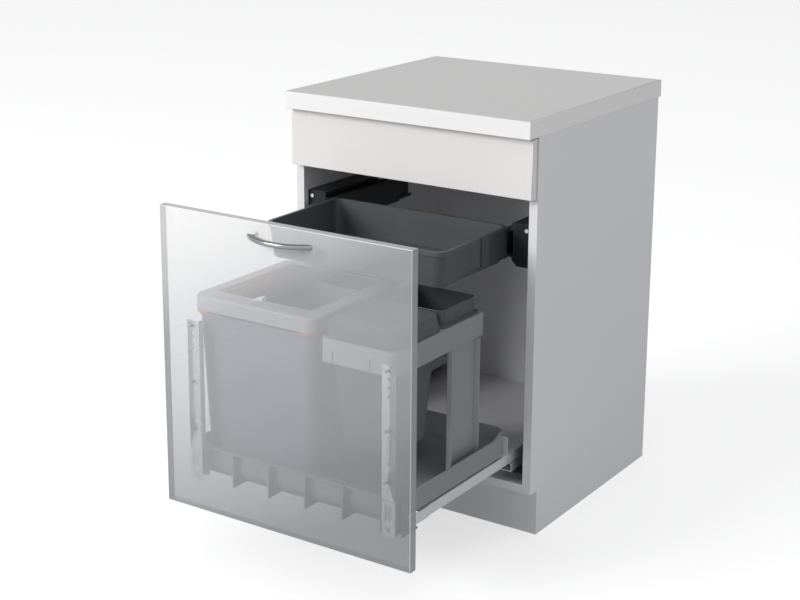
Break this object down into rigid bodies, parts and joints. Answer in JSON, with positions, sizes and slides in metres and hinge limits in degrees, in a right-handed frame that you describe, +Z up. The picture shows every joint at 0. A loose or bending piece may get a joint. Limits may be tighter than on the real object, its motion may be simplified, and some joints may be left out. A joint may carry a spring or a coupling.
{
  "type": "pull out trash cabinet",
  "caption": "Kitchen base unit with a fixed top front and a tall pull-out front that carries waste bins on a ribbed base frame, with a utensil tray above on its own slides.",
  "frame": {"origin": "on the floor, at the middle of the carcass's back plane, which stands against the wall", "axes": "+X to the unit's right seen from the front, -Y out of the front, +Y to the wall, +Z up"},
  "size_m": [0.6, 1.043, 0.9],
  "materials": {
    "worktop_laminate": "light grey laminate on chipboard, white front edge",
    "carcass_board": "white melamine faced chipboard",
    "white_front": "satin white lacquered board",
    "milky_front": "milky see-through front",
    "chrome": "polished",
    "zinc_steel": "zinc plated sheet",
    "dark_steel": "dark grey powder coat",
    "grey_plastic": "fine grained moulding",
    "light_grey_plastic": "fine grained moulding",
    "anthracite_plastic": "fine grained moulding",
    "black_plastic": "fine grained moulding",
    "orange_plastic": "smooth moulding",
    "white_plastic": "smooth moulding"
  },
  "bodies": {
    "cabinet": {"worktop": "worktop_laminate", "side_panel_left": "carcass_board", "side_panel_right": "carcass_board", "bottom_panel": "carcass_board", "back_panel": "carcass_board", "top_rail_front": "carcass_board", "top_rail_rear": "carcass_board", "rear_base_rail": "carcass_board", "plinth_board": "carcass_board", "blank_front": "white_front", "blank_angle_left": "zinc_steel", "blank_angle_right": "zinc_steel", "blank_screws": "zinc_steel", "runner_angle_left": "dark_steel", "runner_angle_right": "dark_steel", "cabinet_rail_left": "zinc_steel", "cabinet_rail_right": "zinc_steel", "runner_screws": "zinc_steel", "slide_housing_left": "black_plastic", "slide_housing_right": "black_plastic", "housing_screws": "zinc_steel", "tray_slide_outer_left": "dark_steel", "tray_slide_outer_right": "dark_steel"},
    "pull_out": {"front_panel": "milky_front", "handle": "chrome", "handle_screws": "zinc_steel", "front_strip_left": "zinc_steel", "front_strip_right": "zinc_steel", "front_adjuster_left": "zinc_steel", "front_adjuster_right": "zinc_steel", "strip_screws": "zinc_steel", "cam_screws": "zinc_steel", "base_frame": "light_grey_plastic", "drawer_rail_left": "zinc_steel", "drawer_rail_right": "zinc_steel", "big_bin": "grey_plastic", "bag_clamp": "anthracite_plastic", "bag_comb": "orange_plastic", "corner_clips": "orange_plastic", "holder_frame": "light_grey_plastic", "holder_leg": "light_grey_plastic", "small_bin": "anthracite_plastic", "rear_box": "anthracite_plastic"},
    "bag_rim": {"bag_frame": "light_grey_plastic", "latch_tab": "white_plastic"},
    "bin_lid": {"small_bin_lid": "anthracite_plastic"},
    "tray_carriage": {"tray": "anthracite_plastic", "tray_slide_inner_left": "dark_steel", "tray_slide_inner_right": "dark_steel"},
    "runner_middle_left": {"middle_rail_left": "zinc_steel"},
    "runner_middle_right": {"middle_rail_right": "zinc_steel"},
    "tray_middle_left": {"tray_slide_middle_left": "dark_steel"},
    "tray_middle_right": {"tray_slide_middle_right": "dark_steel"}
  },
  "joints": [
    {"name": "pull_out_slide", "type": "slide", "parent": "cabinet", "child": "pull_out", "axis": [0, 1, 0], "range_m": [0, 0.43]},
    {"name": "runner_middle_left_slide", "type": "slide", "parent": "cabinet", "child": "runner_middle_left", "axis": [0, 1, 0], "range_m": [0, 0.215]},
    {"name": "runner_middle_right_slide", "type": "slide", "parent": "cabinet", "child": "runner_middle_right", "axis": [0, 1, 0], "range_m": [0, 0.215]},
    {"name": "tray_slide", "type": "slide", "parent": "cabinet", "child": "tray_carriage", "axis": [0, 1, 0], "range_m": [0, 0.245]},
    {"name": "tray_middle_left_slide", "type": "slide", "parent": "cabinet", "child": "tray_middle_left", "axis": [0, 1, 0], "range_m": [0, 0.1225]},
    {"name": "tray_middle_right_slide", "type": "slide", "parent": "cabinet", "child": "tray_middle_right", "axis": [0, 1, 0], "range_m": [0, 0.1225]},
    {"name": "bag_rim_lift", "type": "slide", "parent": "pull_out", "child": "bag_rim", "axis": [0, 0, 1], "range_m": [0, 0.025]},
    {"name": "bin_lid_lift", "type": "slide", "parent": "pull_out", "child": "bin_lid", "axis": [0, 0, 1], "range_m": [0, 0.02]}
  ],
  "couplings": [
    {"joint": "runner_middle_left_slide", "follows": "pull_out_slide", "ratio": 0.5},
    {"joint": "runner_middle_right_slide", "follows": "pull_out_slide", "ratio": 0.5},
    {"joint": "tray_slide", "follows": "pull_out_slide", "ratio": 0.56977},
    {"joint": "tray_middle_left_slide", "follows": "pull_out_slide", "ratio": 0.28488},
    {"joint": "tray_middle_right_slide", "follows": "pull_out_slide", "ratio": 0.28488}
  ]
}
